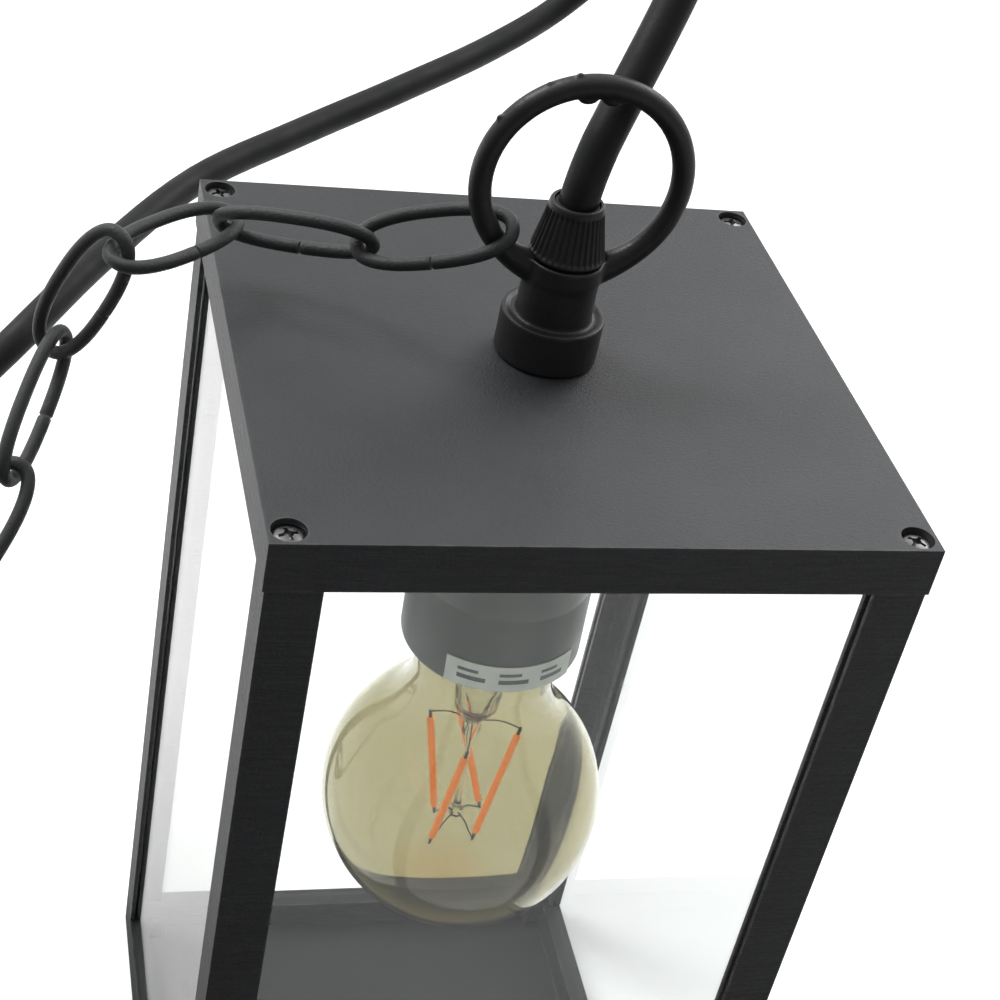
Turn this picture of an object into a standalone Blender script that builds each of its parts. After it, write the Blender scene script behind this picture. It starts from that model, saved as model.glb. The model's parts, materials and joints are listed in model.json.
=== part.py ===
"""Hanging lantern: a square glazed body with a clear bulb, a cable gland with a hanging ring, a chain and a cable.

Lengths are in millimetres and become metres where a mesh is made. The origin is the middle of the base's
underside, +X is to the right, +Y to the back and +Z up.
"""

import math

import bmesh
import bpy
from mathutils import Matrix, Vector
from mathutils.geometry import interpolate_bezier

MM = 0.001
GAP = 0.3  # clearance between pieces that rest on or sit in each other

# Body
CAP_SIDE = 120.0
CAP_HEIGHT = 10.0
BODY_HEIGHT = 224.0
BODY_SIDE = 119.2  # posts and base stand 0.4 inside the cap's edge
BASE_HEIGHT = 10.0
PLATE = 2.5  # thickness of the roof and of the floor
POST_ARM = 10.0
LIP = 1.0  # wall outside a glass slot
SLOT = 2.4
SLOT_DEPTH = 3.0
SLOT_END = 6.2  # distance from a corner at which the slots stop
ARM_DEPTH = 4.4
RIM = 6.2  # thickness of the wall that carries the glass, in the cap and the base
GLASS_THICKNESS = 1.8
SCREW_OFFSET = 3.4  # from each face of a post to its screw
SCREW_HEAD_R = 2.8
SCREW_SHAFT_R = 1.5
SCREW_HEAD_HEIGHT = 1.8
SCREW_RECESS = 0.7
SCREW_BLOCK = 7.4  # width of the solid corners inside the roof, which take its screws
SCREW_LENGTH = 16.0

# Gland and hanging ring
SPIGOT_R = 5.0
SPIGOT_BOTTOM = 205.0
COLLAR_R = 10.0
COLLAR_TOP = 233.1
NECK_R = 7.1
NECK_TOP = 245.2
THREAD_TOP = 249.5
GLAND_BORE_R = 4.1
CORE_BORE_R = 3.2
CORE_BORE_TOP = 233.0
NUT_BOTTOM = 245.6
NUT_TOP = 256.6
NUT_RIBS = 22
RING_R = 18.9
RING_TUBE_R = 2.2
RING_CENTRE_Z = 260.5

# Lampholder and bulb: heights are measured from the pivot, down the leaned axis
PIVOT_Z = 213.0
LEAN = 1.75  # degrees that the holder hangs out of plumb on its spigot
HOLDER_R = 19.0
HOLDER_BOTTOM = -60.0
SHELL_TOP = -26.0
LABEL_FROM, LABEL_TO = -132.0, -46.0  # degrees round the holder
BULB_R = 31.0
BULB_CENTRE = -105.0
BULB_NECK_R = 15.0
BULB_SHOULDER_R = 20.0
GLASS_WALL = 0.8
FILAMENTS = (  # lower and upper end of each, from the bulb's axis
    ((-3.7, 5.0, -116.0), (-8.3, 4.4, -87.0)),
    ((-6.0, -4.6, -116.0), (-3.2, -9.0, -87.0)),
    ((7.0, 6.0, -116.0), (-1.0, 8.4, -87.0)),
    ((4.2, -3.8, -116.0), (10.0, -2.2, -87.0)),
)

# Chain
LINK_WIRE_R = 1.325
LINK_HALF_LENGTH = 15.04
LINK_HALF_WIDTH = 5.35
LINK_OVAL = 2.4  # exponent of a link's centre line: 2 is an ellipse, more is squarer
LINK_BUTT_GAP = 0.5
LINK_PLAY = 0.5  # between the wires of two links that hang in each other
DRAPED_LINKS = (  # centre, then heading, slope and roll in degrees
    ((-24.4, 4.0, 245.3), (155.8, -22.0, -36.3)),
    ((-47.7, 15.3, 238.2), (154.3, -8.4, 57.5)),
    ((-69.9, 13.6, 236.9), (220.3, 0.1, -7.5)),
    ((-86.1, 9.8, 226.5), (157.1, -65.7, -72.9)),
    ((-93.9, 2.1, 206.6), (245.1, -35.8, -81.0)),
    ((-104.1, -15.1, 189.4), (226.9, -42.9, -2.9)),
)
HANGING_LINKS = (  # heading, slope and roll in degrees
    (217, -60, 80),
    (222, -78, -6),
    (221, -89, 91),
    (215, -89, 0),
    (224, -76, 88),
    (246, -58, 10),
)

# Cable
CABLE_R = 3.7
CABLE_START = 240.5
CABLE_BEND_START = 251.6
CABLE_BEND_R = 30.0
CABLE_BEND = 34.0  # degrees it turns out of the nut
CABLE_HEADING = 45.0  # degrees from +X towards +Y
CABLE_ROUTE = (  # after the bend at the nut
    (15.7, 16.8, 289.5),
    (25.0, 29.0, 307.0),
    (36.0, 46.0, 322.0),
    (50.0, 72.0, 334.0),
    (65.0, 108.0, 337.0),
    (78.0, 148.0, 325.0),
    (88.0, 187.0, 297.0),
    (91.0, 215.0, 258.0),
    (83.0, 228.0, 222.0),
    (64.0, 224.0, 201.0),
    (40.0, 209.0, 191.5),
    (10.0, 189.0, 185.5),
    (-20.0, 169.0, 180.5),
    (-49.0, 145.0, 177.5),
    (-74.0, 113.0, 173.0),
    (-96.0, 84.0, 165.0),
    (-121.0, 68.0, 145.0),
    (-145.0, 70.0, 111.0),
    (-162.0, 84.0, 72.0),
    (-171.0, 102.0, 36.0),
    (-172.5, 121.0, 13.0),
    (-171.4, 141.0, 4.6),
    (-171.3, 160.0, 4.2),
)
COIL_CENTRE = (-215.0, 187.5)
COIL_INNER_R = 32.3
COIL_OUTER_R = 47.7
COIL_HEIGHT = 15.2
CORES_START = (-247.0, 239.5)  # where the sheath ends, beside the coil
CORES_LENGTH = 34.0


# Mesh helpers


def clear_scene():
    for obj in list(bpy.data.objects):
        bpy.data.objects.remove(obj)


def finish(name, colour, roughness=0.5, metallic=0.0, transmission=0.0):
    made = bpy.data.materials.new(name)
    made.use_nodes = True
    shader = made.node_tree.nodes["Principled BSDF"]
    shader.inputs["Base Color"].default_value = (*colour, 1.0)
    shader.inputs["Roughness"].default_value = roughness
    shader.inputs["Metallic"].default_value = metallic
    shader.inputs["Transmission Weight"].default_value = transmission
    made.diffuse_color = (*colour, 1.0)
    return made


def place(name, bm, material, cutter=False):
    """Makes an object of a bmesh in millimetres, with its faces turned outwards."""
    bmesh.ops.recalc_face_normals(bm, faces=bm.faces)
    bmesh.ops.scale(bm, vec=(MM, MM, MM), verts=bm.verts)
    mesh = bpy.data.meshes.new(name)
    bm.to_mesh(mesh)
    bm.free()
    mesh.materials.append(material)
    mesh.shade_smooth()
    mesh.set_sharp_from_angle(angle=math.radians(32))
    obj = bpy.data.objects.new(name, mesh)
    bpy.context.scene.collection.objects.link(obj)
    if cutter:
        obj.hide_render = True
        obj.display_type = "WIRE"
    return obj


def combine(obj, other, operation="DIFFERENCE"):
    modifier = obj.modifiers.new(f"{operation} {other.name}", "BOOLEAN")
    modifier.operation = operation
    modifier.object = other
    modifier.solver = "EXACT"


def apply_modifiers(obj):
    graph = bpy.context.evaluated_depsgraph_get()
    mesh = bpy.data.meshes.new_from_object(obj.evaluated_get(graph))
    obj.modifiers.clear()
    obj.data = mesh


def add_prism(bm, outline, low, high):
    """Adds an upright prism on a closed outline of (x, y) points."""
    bottom = [bm.verts.new((x, y, low)) for x, y in outline]
    top = [bm.verts.new((x, y, high)) for x, y in outline]
    bm.faces.new(reversed(bottom))
    bm.faces.new(top)
    for index in range(len(outline)):
        after = (index + 1) % len(outline)
        bm.faces.new((bottom[index], bottom[after], top[after], top[index]))


def rectangle(half_x, half_y, x=0.0, y=0.0):
    return [(x + sx * half_x, y + sy * half_y) for sx, sy in ((-1, -1), (1, -1), (1, 1), (-1, 1))]


def circle(radius, sides, x=0.0, y=0.0):
    angles = [2 * math.pi * index / sides for index in range(sides)]
    return [(x + radius * math.cos(angle), y + radius * math.sin(angle)) for angle in angles]


def prism(name, outline, low, high, material, cutter=False):
    bm = bmesh.new()
    add_prism(bm, outline, low, high)
    return place(name, bm, material, cutter)


def turned(name, profile, material, sides=32, cutter=False, groove_depths=()):
    """Turns a closed profile of (radius, height) points round Z. A groove depth for each point cuts every
    second corner of its ring in by that much, which leaves ribs."""
    bm = bmesh.new()
    rings = []
    for (radius, z), groove in zip(profile, groove_depths or [0.0] * len(profile)):
        if radius == 0.0:
            rings.append([bm.verts.new((0.0, 0.0, z))])
            continue
        ring = []
        for index in range(sides):
            angle = 2 * math.pi * index / sides
            r = radius - groove * (index % 2)
            ring.append(bm.verts.new((r * math.cos(angle), r * math.sin(angle), z)))
        rings.append(ring)
    for first, second in zip(rings, rings[1:] + rings[:1]):
        if len(first) == 1 and len(second) == 1:
            continue
        for index in range(sides):
            after = (index + 1) % sides
            corners = [first[index % len(first)], first[after % len(first)]]
            corners += [second[after % len(second)], second[index % len(second)]]
            bm.faces.new(list(dict.fromkeys(corners)))
    return place(name, bm, material, cutter)


def swept(name, points, radius, sides, material, closed=False, cutter=False):
    """Sweeps a circle along points in millimetres, with flat ends unless the path is closed."""
    bm = bmesh.new()
    path = [Vector(point) for point in points]
    count = len(path)
    rings = []
    side = None
    for index, point in enumerate(path):
        before = path[index - 1] if closed or index else point
        after = path[(index + 1) % count] if closed or index < count - 1 else point
        along = (after - before).normalized()
        if side is None:
            side = along.orthogonal().normalized()
        side = (side - along * side.dot(along)).normalized()
        across = along.cross(side)
        turn = [2 * math.pi * corner / sides for corner in range(sides)]
        rings.append([bm.verts.new(point + radius * (math.cos(a) * side + math.sin(a) * across)) for a in turn])
    pairs = list(zip(rings, rings[1:]))
    if closed:
        pairs.append((rings[-1], rings[0]))
    for first, second in pairs:
        for corner in range(sides):
            after = (corner + 1) % sides
            bm.faces.new((first[corner], first[after], second[after], second[corner]))
    if not closed:
        bm.faces.new(reversed(rings[0]))
        bm.faces.new(rings[-1])
    return place(name, bm, material, cutter)


def arc(centre, radius, start, end, steps):
    """Points of (radius, height) on an arc, from one angle to another in degrees."""
    turn = [math.radians(start + (end - start) * step / steps) for step in range(steps + 1)]
    return [(centre[0] + radius * math.cos(a), centre[1] + radius * math.sin(a)) for a in turn]


def smooth_route(points, spacing):
    """A smooth curve through the points, read off again at an even spacing."""
    route = [Vector(point) for point in points]
    fine = []
    for index in range(len(route) - 1):
        before = route[max(index - 1, 0)]
        start, end = route[index], route[index + 1]
        after = route[min(index + 2, len(route) - 1)]
        reach = (end - start).length / 3
        out_of_start = start + (end - before).normalized() * reach
        into_end = end - (after - start).normalized() * reach
        fine += interpolate_bezier(start, out_of_start, into_end, end, 24)[:-1]
    fine.append(route[-1])
    lengths = [0.0]
    for first, second in zip(fine, fine[1:]):
        lengths.append(lengths[-1] + (second - first).length)
    count = round(lengths[-1] / spacing)
    even = []
    index = 0
    for step in range(count + 1):
        target = lengths[-1] * step / count
        while index < len(fine) - 2 and lengths[index + 1] < target:
            index += 1
        share = (target - lengths[index]) / (lengths[index + 1] - lengths[index])
        even.append(fine[index].lerp(fine[index + 1], share))
    return even


# Body


def corner_screw_places():
    reach = BODY_SIDE / 2 - SCREW_OFFSET
    return [(-reach, -reach), (reach, -reach), (reach, reach), (-reach, reach)]


def add_glass_slots(bm, low, high):
    """Adds four slot bodies that hold the panes, as one cutter."""
    middle = BODY_SIDE / 2 - LIP - SLOT / 2
    length = BODY_SIDE / 2 - SLOT_END + 0.05
    for x, y, half_x, half_y in (
        (0, middle, length, SLOT / 2),
        (0, -middle, length, SLOT / 2),
        (middle, 0, SLOT / 2, length),
        (-middle, 0, SLOT / 2, length),
    ):
        add_prism(bm, rectangle(half_x, half_y, x, y), low, high)


def pocket_outline(half, corner):
    """A square with its corners taken out, so that blocks of material stay there."""
    quarter = [(half, corner), (corner, corner), (corner, half)]
    outline = []
    for turn in range(4):
        for x, y in quarter:
            for _ in range(turn):
                x, y = -y, x
            outline.append((x, y))
    return outline


def screw_hole_cutter(name, head_low, head_high, shaft_low, shaft_high, material):
    """Four counterbored holes. The head's and the shaft's cylinders are one turned body at each corner."""
    bm = bmesh.new()
    head_r = SCREW_HEAD_R + GAP
    shaft_r = SCREW_SHAFT_R + GAP
    sides = 12
    for x, y in corner_screw_places():
        if shaft_low < head_low:
            steps = [(shaft_r, shaft_low), (shaft_r, head_low), (head_r, head_low), (head_r, head_high)]
        else:
            steps = [(head_r, head_low), (head_r, head_high), (shaft_r, head_high), (shaft_r, shaft_high)]
        rings = []
        for radius, z in steps:
            rings.append([bm.verts.new((px, py, z)) for px, py in circle(radius, sides, x, y)])
        bm.faces.new(reversed(rings[0]))
        bm.faces.new(rings[-1])
        for first, second in zip(rings, rings[1:]):
            for corner in range(sides):
                after = (corner + 1) % sides
                bm.faces.new((first[corner], first[after], second[after], second[corner]))
    return place(name, bm, material, cutter=True)


def make_roof_cap(coat):
    top = BODY_HEIGHT
    bottom = top - CAP_HEIGHT
    bm = bmesh.new()
    add_prism(bm, rectangle(CAP_SIDE / 2, CAP_SIDE / 2), bottom, top)
    outer = [edge for edge in bm.edges if max(vertex.co.z for vertex in edge.verts) > top - 0.1]
    bmesh.ops.bevel(bm, geom=outer, offset=0.5, segments=2, profile=0.5, affect="EDGES")
    cap = place("roof_cap", bm, coat)
    slots = bmesh.new()
    add_glass_slots(slots, bottom - 1.0, bottom + SLOT_DEPTH)
    combine(cap, place("roof_slots", slots, coat, cutter=True))
    half = BODY_SIDE / 2 - RIM
    pocket = pocket_outline(half, half - SCREW_BLOCK)
    combine(cap, prism("roof_pocket", pocket, bottom - 1.0, top - PLATE, coat, cutter=True))
    hole = circle(SPIGOT_R + GAP, 24)
    combine(cap, prism("roof_hole", hole, top - PLATE - 1.0, top + 1.0, coat, cutter=True))
    head_floor = top - SCREW_RECESS - SCREW_HEAD_HEIGHT - GAP
    combine(cap, screw_hole_cutter("roof_screw_holes", head_floor, top + 1.0, bottom - 1.0, bottom, coat))


def make_base_tray(coat):
    bm = bmesh.new()
    add_prism(bm, rectangle(BODY_SIDE / 2, BODY_SIDE / 2), 0.0, BASE_HEIGHT)
    upright = [edge for edge in bm.edges if abs(edge.verts[0].co.z - edge.verts[1].co.z) > 1.0]
    bmesh.ops.bevel(bm, geom=upright, offset=0.4, segments=2, profile=0.5, affect="EDGES")
    tray = place("base_tray", bm, coat)
    slots = bmesh.new()
    add_glass_slots(slots, BASE_HEIGHT - SLOT_DEPTH, BASE_HEIGHT + 1.0)
    combine(tray, place("base_slots", slots, coat, cutter=True))
    half = BODY_SIDE / 2 - RIM
    pocket = pocket_outline(half, BODY_SIDE / 2 - POST_ARM)
    combine(tray, prism("base_pocket", pocket, PLATE, BASE_HEIGHT + 1.0, coat, cutter=True))
    head_roof = SCREW_RECESS + SCREW_HEAD_HEIGHT + GAP
    holes = screw_hole_cutter("base_screw_holes", -1.0, head_roof, head_roof, BASE_HEIGHT + 1.0, coat)
    combine(tray, holes)


def post_outline():
    """A corner post seen from above, with its outer corner at 0, 0 and its arms along +X and +Y."""
    inner = LIP + SLOT
    half = [
        (POST_ARM, 0.0),
        (POST_ARM, LIP),
        (SLOT_END, LIP),
        (SLOT_END, inner),
        (POST_ARM, inner),
        (POST_ARM, ARM_DEPTH),
        (SLOT_END + 0.4, ARM_DEPTH),
    ]
    return [(0.0, 0.0), *half, *((y, x) for x, y in reversed(half))]


def make_posts(coat):
    low = BASE_HEIGHT + GAP
    high = BODY_HEIGHT - CAP_HEIGHT - GAP
    corner = BODY_SIDE / 2
    outline = [(x - corner, y - corner) for x, y in post_outline()]
    first = prism("corner_post_front_left", outline, low, high, coat)
    bore = circle(SCREW_SHAFT_R + GAP, 12, SCREW_OFFSET - corner, SCREW_OFFSET - corner)
    depth = SCREW_LENGTH - CAP_HEIGHT + SCREW_RECESS + 1.0
    combine(first, prism("post_bore_low", bore, low - 1.0, low + depth, coat, cutter=True))
    combine(first, prism("post_bore_high", bore, high - depth, high + 1.0, coat, cutter=True))
    apply_modifiers(first)
    for turn, name in enumerate(("front_right", "back_right", "back_left"), start=1):
        copy = first.copy()
        copy.name = f"corner_post_{name}"
        copy.rotation_euler.z = turn * math.pi / 2
        bpy.context.scene.collection.objects.link(copy)


def make_glass(glass):
    middle = BODY_SIDE / 2 - LIP - SLOT / 2
    half = BODY_SIDE / 2 - SLOT_END - GAP
    low = BASE_HEIGHT - SLOT_DEPTH + GAP
    high = BODY_HEIGHT - CAP_HEIGHT + SLOT_DEPTH - 0.5
    for turn, side in enumerate(("front", "right", "back", "left")):
        outline = rectangle(half, GLASS_THICKNESS / 2, 0.0, -middle)
        pane = prism(f"glass_{side}", outline, low, high, glass)
        pane.rotation_euler.z = turn * math.pi / 2


def make_corner_screws(steel):
    """A cross-recessed screw, with the top of its head at its origin. The base's screws are turned over."""
    head_low = -SCREW_HEAD_HEIGHT
    profile = [
        (0.0, -SCREW_LENGTH),
        (SCREW_SHAFT_R, -SCREW_LENGTH),
        (SCREW_SHAFT_R, head_low),
        (SCREW_HEAD_R, head_low),
        (SCREW_HEAD_R, -0.7),
        (SCREW_HEAD_R - 0.6, 0.0),
        (0.0, 0.0),
    ]
    pattern = turned("screw_pattern", profile, steel, sides=12)
    arm, half_width = 1.7, 0.4
    cross = pocket_outline(arm, half_width)
    recess = prism("screw_recess", cross, -1.2, 1.0, steel, cutter=True)
    combine(pattern, recess)
    apply_modifiers(pattern)
    corners = ("front_left", "front_right", "back_right", "back_left")
    for angle, corner, (x, y) in zip((12, 40, 65, 28), corners, corner_screw_places()):
        for name, z, flip in (
            (f"roof_screw_{corner}", BODY_HEIGHT - SCREW_RECESS, 0.0),
            (f"base_screw_{corner}", SCREW_RECESS, math.pi),
        ):
            screw = pattern.copy()
            screw.name = name
            screw.location = Vector((x, y, z)) * MM
            screw.rotation_euler = (flip, 0.0, math.radians(angle))
            bpy.context.scene.collection.objects.link(screw)
    bpy.data.objects.remove(pattern)


# Gland


def make_gland(plastic, rubber, steel):
    outer = [
        (0.0, SPIGOT_BOTTOM),
        (SPIGOT_R, SPIGOT_BOTTOM),
        (SPIGOT_R, BODY_HEIGHT + GAP),
        (COLLAR_R, BODY_HEIGHT + GAP),
        (COLLAR_R, COLLAR_TOP),
        (COLLAR_R - 1.2, COLLAR_TOP),
        (COLLAR_R - 1.2, BODY_HEIGHT + 3.0),
        (NECK_R, BODY_HEIGHT + 3.0),
        (NECK_R, NECK_TOP - 2.2),
        (NECK_R + 0.25, NECK_TOP - 1.8),
        (NECK_R + 0.25, NECK_TOP),
        (4.9, NECK_TOP),
        (4.9, THREAD_TOP),
        (0.0, THREAD_TOP),
    ]
    body = turned("gland_body_with_ring", outer, plastic, sides=24)
    ring_steps = 32
    angles = [2 * math.pi * step / ring_steps for step in range(ring_steps)]
    loop = [(RING_R * math.cos(a), 0.0, RING_CENTRE_Z + RING_R * math.sin(a)) for a in angles]
    ring = swept("ring_solid", loop, RING_TUBE_R, 8, plastic, closed=True, cutter=True)
    combine(body, ring, "UNION")
    clear = circle(NECK_R - 0.1, 32)
    combine(body, prism("thread_clearance", clear, NECK_TOP, NUT_TOP, plastic, cutter=True))
    bore = [
        (0.0, SPIGOT_BOTTOM - 1.0),
        (CORE_BORE_R, SPIGOT_BOTTOM - 1.0),
        (CORE_BORE_R, CORE_BORE_TOP),
        (GLAND_BORE_R, CORE_BORE_TOP),
        (GLAND_BORE_R, THREAD_TOP + 1.0),
        (0.0, THREAD_TOP + 1.0),
    ]
    combine(body, turned("gland_bore", bore, plastic, sides=24, cutter=True))

    nut_wall = [
        (5.3, NUT_BOTTOM),
        (6.5, NUT_BOTTOM),
        (6.8, NUT_BOTTOM + 0.4),
        (6.6, NUT_BOTTOM + 4.0),
        (5.9, NUT_TOP - 1.6),
        (5.3, NUT_TOP),
        (4.6, NUT_TOP),
        (4.6, NUT_TOP - 3.4),
        (5.3, NUT_TOP - 3.4),
    ]
    grooves = (0.0, 0.0, 0.35, 0.35, 0.35, 0.0, 0.0, 0.0, 0.0)
    turned("gland_nut", nut_wall, plastic, sides=2 * NUT_RIBS, groove_depths=grooves)

    seal = [(4.05, THREAD_TOP + GAP), (4.9, THREAD_TOP + GAP), (4.9, 252.7), (4.05, 252.7)]
    turned("gland_seal", seal, rubber, sides=16)

    washer_top = BODY_HEIGHT - PLATE - GAP
    washer = [(5.3, washer_top - 1.0), (9.0, washer_top - 1.0), (9.0, washer_top), (5.3, washer_top)]
    turned("gland_washer", washer, steel, sides=24)
    nut_top = washer_top - 1.0 - GAP
    across_corners = 14.0 / math.cos(math.pi / 6) / 2
    lock_nut = prism("gland_lock_nut", circle(across_corners, 6), nut_top - 3.0, nut_top, steel)
    thread = circle(SPIGOT_R + GAP, 24)
    combine(lock_nut, prism("lock_nut_thread", thread, nut_top - 4.0, nut_top + 1.0, steel, cutter=True))


# Lampholder and bulb


def holder_frame():
    """An empty on the roof's axis, leaned by the holder's lean. The holder's and the bulb's pieces hang from it."""
    empty = bpy.data.objects.new("lampholder_axis", None)
    empty.location = (0.0, 0.0, PIVOT_Z * MM)
    empty.rotation_euler.y = -math.radians(LEAN)
    bpy.context.scene.collection.objects.link(empty)
    return empty


def make_lampholder(axis, black, brass, paper):
    wall = 2.0
    shell = [
        (HOLDER_R - wall - 0.9, HOLDER_BOTTOM),
        (HOLDER_R - 0.9, HOLDER_BOTTOM),
        (HOLDER_R - 0.25, HOLDER_BOTTOM + 0.6),
        (HOLDER_R, HOLDER_BOTTOM + 1.8),
        (HOLDER_R, SHELL_TOP),
        (HOLDER_R - wall, SHELL_TOP),
        (HOLDER_R - wall, HOLDER_BOTTOM + 1.8),
    ]
    dome_low = SHELL_TOP + GAP
    hub_r = SPIGOT_R + 0.7
    dome = [
        (HOLDER_R, dome_low),
        (HOLDER_R, dome_low + 3.0),
        *arc((HOLDER_R - 9.0, dome_low + 3.0), 9.0, 15, 90, 4),
        (8.6, dome_low + 12.0),
        (8.6, -0.8),
        (hub_r, -0.8),
        (hub_r, dome_low + 10.0),
        *arc((HOLDER_R - 9.0, dome_low + 3.0), 7.0, 90, 15, 3),
        (HOLDER_R - wall, dome_low + 3.0),
        (HOLDER_R - wall, dome_low),
    ]
    insert_r = HOLDER_R - wall - GAP
    insert = [
        (14.7, HOLDER_BOTTOM + 2.4),
        (insert_r, HOLDER_BOTTOM + 2.4),
        (insert_r, -27.0),
        (1.8, -27.0),
        (1.8, -30.0),
        (14.7, -30.0),
    ]
    sleeve = [(13.6, -58.3), (14.4, -58.3), (14.4, -31.0), (13.6, -31.0)]
    contact = [(0.0, -31.3), (4.0, -31.3), (4.0, -30.3), (1.4, -30.3), (1.4, -24.0), (0.0, -24.0)]
    pieces = [
        turned("lampholder_shell", shell, black),
        turned("lampholder_cap", dome, black),
        turned("lampholder_insert", insert, black, sides=24),
        turned("thread_sleeve", sleeve, brass, sides=24),
        turned("centre_contact", contact, brass, sides=12),
        make_label(paper),
    ]
    for piece in pieces:
        piece.parent = axis


def make_label(paper):
    """A curved sticker on the holder's lower rim."""
    bm = bmesh.new()
    inner, outer = HOLDER_R + GAP, HOLDER_R + 2 * GAP
    steps = 12
    turn = [math.radians(LABEL_FROM + (LABEL_TO - LABEL_FROM) * step / steps) for step in range(steps + 1)]
    outline = [(outer * math.cos(a), outer * math.sin(a)) for a in turn]
    outline += [(inner * math.cos(a), inner * math.sin(a)) for a in reversed(turn)]
    add_prism(bm, outline, HOLDER_BOTTOM + 1.4, HOLDER_BOTTOM + 7.9)
    return place("rating_label", bm, paper)


def bulb_glass_profile():
    """The bulb's glass in section: a sphere, a hollow shoulder tangent to it, the neck and an open end."""
    reach = BULB_R + BULB_SHOULDER_R
    shoulder_x = BULB_NECK_R + BULB_SHOULDER_R
    shoulder_z = BULB_CENTRE + math.sqrt(reach**2 - shoulder_x**2)
    tangent = math.degrees(math.atan2(shoulder_z - BULB_CENTRE, shoulder_x))
    sides = []
    for inset in (0.0, GLASS_WALL):
        side = arc((0.0, BULB_CENTRE), BULB_R - inset, -90, tangent, 11)
        side[0] = (0.0, side[0][1])
        shoulder = arc((shoulder_x, shoulder_z), BULB_SHOULDER_R + inset, 180 + tangent, 180, 3)
        side += shoulder[1:]
        side += [(BULB_NECK_R - inset, -63.0), (13.6 - inset, -60.2), (11.3 - inset, -58.4), (11.3 - inset, -53.0)]
        sides.append(side)
    return sides[0] + sides[1][::-1]


def make_bulb(axis, glass, brass, black, filament):
    hinge = bpy.data.objects.new("bulb_axis", None)
    hinge.parent = axis
    bpy.context.scene.collection.objects.link(hinge)

    cap_low, cap_high = -58.3, -36.6
    thread = []
    turns = 4
    pitch = (cap_high - cap_low - 2.0) / turns
    for turn in range(turns):
        z = cap_low + 1.0 + turn * pitch
        thread += [(12.6, z), (13.2, z + pitch * 0.3), (13.2, z + pitch * 0.55), (12.6, z + pitch * 0.85)]
    shell = [(11.7, cap_low), (12.6, cap_low), *thread, (12.6, cap_high - 1.0), (10.6, cap_high)]
    shell += [(9.8, cap_high), (9.8, cap_high - 0.8), (11.7, cap_high - 1.4)]
    insulator = [(0.0, -37.6), (9.4, -37.6), (9.4, cap_high + GAP), (9.8, cap_high + GAP), (6.0, -33.2), (0.0, -33.2)]
    tip = [(0.0, -32.9), (4.6, -32.9), (4.2, -32.1), (2.4, -31.7), (0.0, -31.7)]
    stem = [
        (0.0, -113.6),
        (1.5, -113.0),
        (1.5, -111.4),
        (0.8, -110.4),
        (0.8, -90.0),
        (1.9, -87.0),
        (1.9, -84.0),
        (4.9, -79.0),
        (5.2, -60.0),
        (8.6, -54.0),
        (9.6, -52.6),
        (9.6, -51.6),
        (0.0, -51.6),
    ]
    pieces = [
        turned("bulb_glass", bulb_glass_profile(), glass, sides=24),
        turned("bulb_screw_cap", shell, brass, sides=20),
        turned("bulb_insulator", insulator, black, sides=16),
        turned("bulb_tip", tip, brass, sides=16),
        turned("bulb_stem", stem, glass, sides=12),
    ]
    for number, (low, high) in enumerate(FILAMENTS, start=1):
        pieces.append(swept(f"filament_{number}", (low, high), 0.75, 6, filament))
    for piece in pieces:
        piece.parent = hinge


def make_cores(plastics):
    """Three insulated cores, from the end of the cable's sheath in the gland down to the holder's terminals."""
    names = ("core_live", "core_neutral", "core_earth")
    for number, (name, plastic) in enumerate(zip(names, plastics)):
        angle = math.radians(90 + 120 * number)
        route = []
        for radius, z in ((1.5, 239.8), (1.5, 218.0), (1.6, 206.0), (2.4, 199.5), (4.8, 193.5), (6.0, 188.5)):
            route.append((radius * math.cos(angle), radius * math.sin(angle), z))
        swept(name, smooth_route(route, 6.0), 0.95, 6, plastic)


# Chain


def link_axes(heading, slope, roll):
    """Unit vectors along a link's length, width and thickness."""
    heading, slope, roll = (math.radians(angle) for angle in (heading, slope, roll))
    level = Vector((math.cos(heading), math.sin(heading), 0.0))
    length = math.cos(slope) * level + Vector((0.0, 0.0, math.sin(slope)))
    side = Vector((-math.sin(heading), math.cos(heading), 0.0))
    width = math.cos(roll) * side + math.sin(roll) * length.cross(side)
    return length, width, length.cross(width)


def link_places():
    """Centre and axes of each link. A hanging link's near end rests in the far end of the one before."""
    places = [(Vector(centre), link_axes(*angles)) for centre, angles in DRAPED_LINKS]
    for angles in HANGING_LINKS:
        centre, (before, _, _) = places[-1]
        axes = link_axes(*angles)
        lap = (2 * LINK_WIRE_R + LINK_PLAY) * (before + axes[0]).normalized()
        start = centre + LINK_HALF_LENGTH * before - lap
        places.append((start + LINK_HALF_LENGTH * axes[0], axes))
    return places


def oval_point(angle):
    x = abs(math.cos(angle)) ** (2 / LINK_OVAL) * math.copysign(LINK_HALF_LENGTH, math.cos(angle))
    y = abs(math.sin(angle)) ** (2 / LINK_OVAL) * math.copysign(LINK_HALF_WIDTH, math.sin(angle))
    return x, y


def link_centre_line(side, steps=18):
    """The bent wire's centre line, from one butt end round to the other. The butt is on the given side."""
    half_gap = LINK_BUTT_GAP / 2 / LINK_HALF_LENGTH
    start = math.pi / 2 + half_gap
    end = math.pi / 2 + 2 * math.pi - half_gap
    points = []
    for step in range(steps + 1):
        x, y = oval_point(start + (end - start) * step / steps)
        points.append((x, side * y, 0.0))
    points[0] = (-LINK_BUTT_GAP / 2, points[0][1], 0.0)
    points[-1] = (LINK_BUTT_GAP / 2, points[-1][1], 0.0)
    return points


def ring_grip(centre, length):
    """The point of the ring's centre line that the first link hangs on."""
    inside = centre - (LINK_HALF_LENGTH - LINK_WIRE_R - RING_TUBE_R - GAP) * length
    angle = math.atan2(inside.z - RING_CENTRE_Z, inside.x)
    return Vector((RING_R * math.cos(angle), 0.0, RING_CENTRE_Z + RING_R * math.sin(angle)))


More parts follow.
